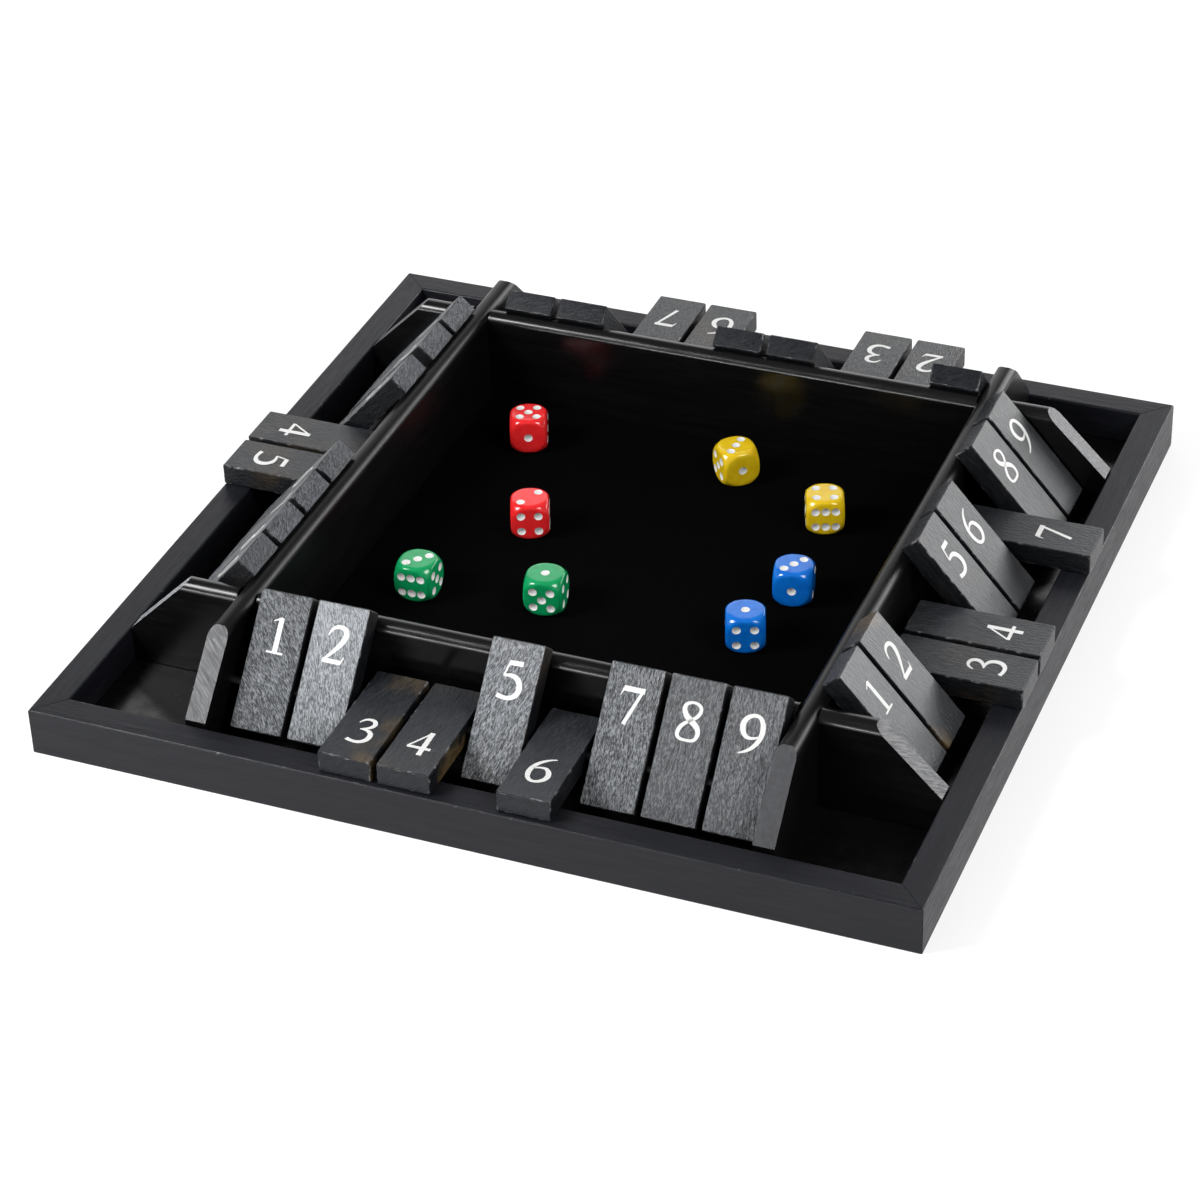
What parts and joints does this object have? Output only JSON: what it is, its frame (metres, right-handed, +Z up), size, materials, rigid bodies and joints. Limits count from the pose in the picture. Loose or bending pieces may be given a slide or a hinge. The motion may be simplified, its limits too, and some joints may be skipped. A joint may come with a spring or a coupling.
{
  "type": "shut the box game",
  "caption": "Square black wooden board game for four players, with turning number tiles along each side of a walled dice tray and loose dice in the tray.",
  "frame": {"origin": "centre of the wooden frame, on the surface the board stands on", "axes": "+Z up, +X along the front edge to the right, +Y from the front edge to the back"},
  "size_m": [0.356, 0.358, 0.0548],
  "materials": {
    "frame_paint": "satin black paint on wood",
    "wall_paint": "semi-gloss black paint on wood",
    "tile_stain": "black stain over open grain, with white painted numerals",
    "tray_felt": "short black felt",
    "rod_steel": "bright drawn wire",
    "red_plastic": "gloss, opaque red with white pips",
    "green_plastic": "gloss, opaque green with white pips",
    "yellow_plastic": "gloss, opaque yellow with white pips",
    "blue_plastic": "gloss, opaque blue with white pips"
  },
  "bodies": {
    "board": {"frame_rail_front": "frame_paint", "frame_rail_right": "frame_paint", "frame_rail_back": "frame_paint", "frame_rail_left": "frame_paint", "base_panel": "frame_paint", "tray_wall_front": "wall_paint", "tray_wall_right": "wall_paint", "tray_wall_back": "wall_paint", "tray_wall_left": "wall_paint", "tray_lining": "tray_felt", "pivot_rod_front": "rod_steel", "pivot_rod_right": "rod_steel", "pivot_rod_back": "rod_steel", "pivot_rod_left": "rod_steel"},
    "front_1": {"tile_front_1": "tile_stain"},
    "front_2": {"tile_front_2": "tile_stain"},
    "front_3": {"tile_front_3": "tile_stain"},
    "front_4": {"tile_front_4": "tile_stain"},
    "front_5": {"tile_front_5": "tile_stain"},
    "front_6": {"tile_front_6": "tile_stain"},
    "front_7": {"tile_front_7": "tile_stain"},
    "front_8": {"tile_front_8": "tile_stain"},
    "front_9": {"tile_front_9": "tile_stain"},
    "right_1": {"tile_right_1": "tile_stain"},
    "right_2": {"tile_right_2": "tile_stain"},
    "right_3": {"tile_right_3": "tile_stain"},
    "right_4": {"tile_right_4": "tile_stain"},
    "right_5": {"tile_right_5": "tile_stain"},
    "right_6": {"tile_right_6": "tile_stain"},
    "right_7": {"tile_right_7": "tile_stain"},
    "right_8": {"tile_right_8": "tile_stain"},
    "right_9": {"tile_right_9": "tile_stain"},
    "back_1": {"tile_back_1": "tile_stain"},
    "back_2": {"tile_back_2": "tile_stain"},
    "back_3": {"tile_back_3": "tile_stain"},
    "back_4": {"tile_back_4": "tile_stain"},
    "back_5": {"tile_back_5": "tile_stain"},
    "back_6": {"tile_back_6": "tile_stain"},
    "back_7": {"tile_back_7": "tile_stain"},
    "back_8": {"tile_back_8": "tile_stain"},
    "back_9": {"tile_back_9": "tile_stain"},
    "left_1": {"tile_left_1": "tile_stain"},
    "left_2": {"tile_left_2": "tile_stain"},
    "left_3": {"tile_left_3": "tile_stain"},
    "left_4": {"tile_left_4": "tile_stain"},
    "left_5": {"tile_left_5": "tile_stain"},
    "left_6": {"tile_left_6": "tile_stain"},
    "left_7": {"tile_left_7": "tile_stain"},
    "left_8": {"tile_left_8": "tile_stain"},
    "left_9": {"tile_left_9": "tile_stain"},
    "red_back": {"die_red_back": "red_plastic"},
    "red_front": {"die_red_front": "red_plastic"},
    "green_left": {"die_green_left": "green_plastic"},
    "green_right": {"die_green_right": "green_plastic"},
    "yellow_left": {"die_yellow_left": "yellow_plastic"},
    "yellow_right": {"die_yellow_right": "yellow_plastic"},
    "blue_back": {"die_blue_back": "blue_plastic"},
    "blue_front": {"die_blue_front": "blue_plastic"}
  },
  "joints": [
    {"name": "turn_front_1", "type": "hinge", "parent": "board", "child": "front_1", "pos_m": [-0.09339, -0.1397, 0.0248], "axis": [1, 0, 0], "range_deg": [0, 132]},
    {"name": "turn_front_2", "type": "hinge", "parent": "board", "child": "front_2", "pos_m": [-0.06954, -0.1397, 0.0248], "axis": [1, 0, 0], "range_deg": [0, 132]},
    {"name": "turn_front_3", "type": "hinge", "parent": "board", "child": "front_3", "pos_m": [-0.04569, -0.1397, 0.0248], "axis": [1, 0, 0], "range_deg": [-132, 0]},
    {"name": "turn_front_4", "type": "hinge", "parent": "board", "child": "front_4", "pos_m": [-0.02184, -0.1397, 0.0248], "axis": [1, 0, 0], "range_deg": [-132, 0]},
    {"name": "turn_front_5", "type": "hinge", "parent": "board", "child": "front_5", "pos_m": [0.00201, -0.1397, 0.0248], "axis": [1, 0, 0], "range_deg": [0, 132]},
    {"name": "turn_front_6", "type": "hinge", "parent": "board", "child": "front_6", "pos_m": [0.02586, -0.1397, 0.0248], "axis": [1, 0, 0], "range_deg": [-132, 0]},
    {"name": "turn_front_7", "type": "hinge", "parent": "board", "child": "front_7", "pos_m": [0.04971, -0.1397, 0.0248], "axis": [1, 0, 0], "range_deg": [0, 132]},
    {"name": "turn_front_8", "type": "hinge", "parent": "board", "child": "front_8", "pos_m": [0.07356, -0.1397, 0.0248], "axis": [1, 0, 0], "range_deg": [0, 132]},
    {"name": "turn_front_9", "type": "hinge", "parent": "board", "child": "front_9", "pos_m": [0.09741, -0.1397, 0.0248], "axis": [1, 0, 0], "range_deg": [0, 132]},
    {"name": "turn_right_1", "type": "hinge", "parent": "board", "child": "right_1", "pos_m": [0.1417, -0.09092, 0.0248], "axis": [0, 1, 0], "range_deg": [0, 131]},
    {"name": "turn_right_2", "type": "hinge", "parent": "board", "child": "right_2", "pos_m": [0.1417, -0.06707, 0.0248], "axis": [0, 1, 0], "range_deg": [0, 131]},
    {"name": "turn_right_3", "type": "hinge", "parent": "board", "child": "right_3", "pos_m": [0.1417, -0.04322, 0.0248], "axis": [0, 1, 0], "range_deg": [-131, 0]},
    {"name": "turn_right_4", "type": "hinge", "parent": "board", "child": "right_4", "pos_m": [0.1417, -0.01937, 0.0248], "axis": [0, 1, 0], "range_deg": [-131, 0]},
    {"name": "turn_right_5", "type": "hinge", "parent": "board", "child": "right_5", "pos_m": [0.1417, 0.00448, 0.0248], "axis": [0, 1, 0], "range_deg": [0, 131]},
    {"name": "turn_right_6", "type": "hinge", "parent": "board", "child": "right_6", "pos_m": [0.1417, 0.02833, 0.0248], "axis": [0, 1, 0], "range_deg": [0, 131]},
    {"name": "turn_right_7", "type": "hinge", "parent": "board", "child": "right_7", "pos_m": [0.1417, 0.05218, 0.0248], "axis": [0, 1, 0], "range_deg": [-131, 0]},
    {"name": "turn_right_8", "type": "hinge", "parent": "board", "child": "right_8", "pos_m": [0.1417, 0.07603, 0.0248], "axis": [0, 1, 0], "range_deg": [0, 131]},
    {"name": "turn_right_9", "type": "hinge", "parent": "board", "child": "right_9", "pos_m": [0.1417, 0.09988, 0.0248], "axis": [0, 1, 0], "range_deg": [0, 131]},
    {"name": "turn_back_1", "type": "hinge", "parent": "board", "child": "back_1", "pos_m": [0.09821, 0.1437, 0.0248], "axis": [-1, 0, 0], "range_deg": [0, 132]},
    {"name": "turn_back_2", "type": "hinge", "parent": "board", "child": "back_2", "pos_m": [0.07436, 0.1437, 0.0248], "axis": [-1, 0, 0], "range_deg": [-132, 0]},
    {"name": "turn_back_3", "type": "hinge", "parent": "board", "child": "back_3", "pos_m": [0.05051, 0.1437, 0.0248], "axis": [-1, 0, 0], "range_deg": [-132, 0]},
    {"name": "turn_back_4", "type": "hinge", "parent": "board", "child": "back_4", "pos_m": [0.02666, 0.1437, 0.0248], "axis": [-1, 0, 0], "range_deg": [0, 132]},
    {"name": "turn_back_5", "type": "hinge", "parent": "board", "child": "back_5", "pos_m": [0.00281, 0.1437, 0.0248], "axis": [-1, 0, 0], "range_deg": [0, 132]},
    {"name": "turn_back_6", "type": "hinge", "parent": "board", "child": "back_6", "pos_m": [-0.02104, 0.1437, 0.0248], "axis": [-1, 0, 0], "range_deg": [-132, 0]},
    {"name": "turn_back_7", "type": "hinge", "parent": "board", "child": "back_7", "pos_m": [-0.04489, 0.1437, 0.0248], "axis": [-1, 0, 0], "range_deg": [-132, 0]},
    {"name": "turn_back_8", "type": "hinge", "parent": "board", "child": "back_8", "pos_m": [-0.06874, 0.1437, 0.0248], "axis": [-1, 0, 0], "range_deg": [0, 132]},
    {"name": "turn_back_9", "type": "hinge", "parent": "board", "child": "back_9", "pos_m": [-0.09259, 0.1437, 0.0248], "axis": [-1, 0, 0], "range_deg": [0, 132]},
    {"name": "turn_left_1", "type": "hinge", "parent": "board", "child": "left_1", "pos_m": [-0.1417, 0.10015, 0.0248], "axis": [0, -1, 0], "range_deg": [0, 131]},
    {"name": "turn_left_2", "type": "hinge", "parent": "board", "child": "left_2", "pos_m": [-0.1417, 0.0763, 0.0248], "axis": [0, -1, 0], "range_deg": [0, 131]},
    {"name": "turn_left_3", "type": "hinge", "parent": "board", "child": "left_3", "pos_m": [-0.1417, 0.04823, 0.0248], "axis": [0, -1, 0], "range_deg": [0, 131]},
    {"name": "turn_left_4", "type": "hinge", "parent": "board", "child": "left_4", "pos_m": [-0.1417, 0.02438, 0.0248], "axis": [0, -1, 0], "range_deg": [-131, 0]},
    {"name": "turn_left_5", "type": "hinge", "parent": "board", "child": "left_5", "pos_m": [-0.1417, 0.00053, 0.0248], "axis": [0, -1, 0], "range_deg": [-131, 0]},
    {"name": "turn_left_6", "type": "hinge", "parent": "board", "child": "left_6", "pos_m": [-0.1417, -0.02332, 0.0248], "axis": [0, -1, 0], "range_deg": [0, 131]},
    {"name": "turn_left_7", "type": "hinge", "parent": "board", "child": "left_7", "pos_m": [-0.1417, -0.04717, 0.0248], "axis": [0, -1, 0], "range_deg": [0, 131]},
    {"name": "turn_left_8", "type": "hinge", "parent": "board", "child": "left_8", "pos_m": [-0.1417, -0.07102, 0.0248], "axis": [0, -1, 0], "range_deg": [0, 131]},
    {"name": "turn_left_9", "type": "hinge", "parent": "board", "child": "left_9", "pos_m": [-0.1417, -0.09487, 0.0248], "axis": [0, -1, 0], "range_deg": [0, 131]},
    {"name": "lift_red_back", "type": "slide", "parent": "board", "child": "red_back", "axis": [0, 0, 1], "range_m": [0, 0.06]},
    {"name": "lift_red_front", "type": "slide", "parent": "board", "child": "red_front", "axis": [0, 0, 1], "range_m": [0, 0.06]},
    {"name": "lift_green_left", "type": "slide", "parent": "board", "child": "green_left", "axis": [0, 0, 1], "range_m": [0, 0.06]},
    {"name": "lift_green_right", "type": "slide", "parent": "board", "child": "green_right", "axis": [0, 0, 1], "range_m": [0, 0.06]},
    {"name": "lift_yellow_left", "type": "slide", "parent": "board", "child": "yellow_left", "axis": [0, 0, 1], "range_m": [0, 0.06]},
    {"name": "lift_yellow_right", "type": "slide", "parent": "board", "child": "yellow_right", "axis": [0, 0, 1], "range_m": [0, 0.06]},
    {"name": "lift_blue_back", "type": "slide", "parent": "board", "child": "blue_back", "axis": [0, 0, 1], "range_m": [0, 0.06]},
    {"name": "lift_blue_front", "type": "slide", "parent": "board", "child": "blue_front", "axis": [0, 0, 1], "range_m": [0, 0.06]}
  ]
}
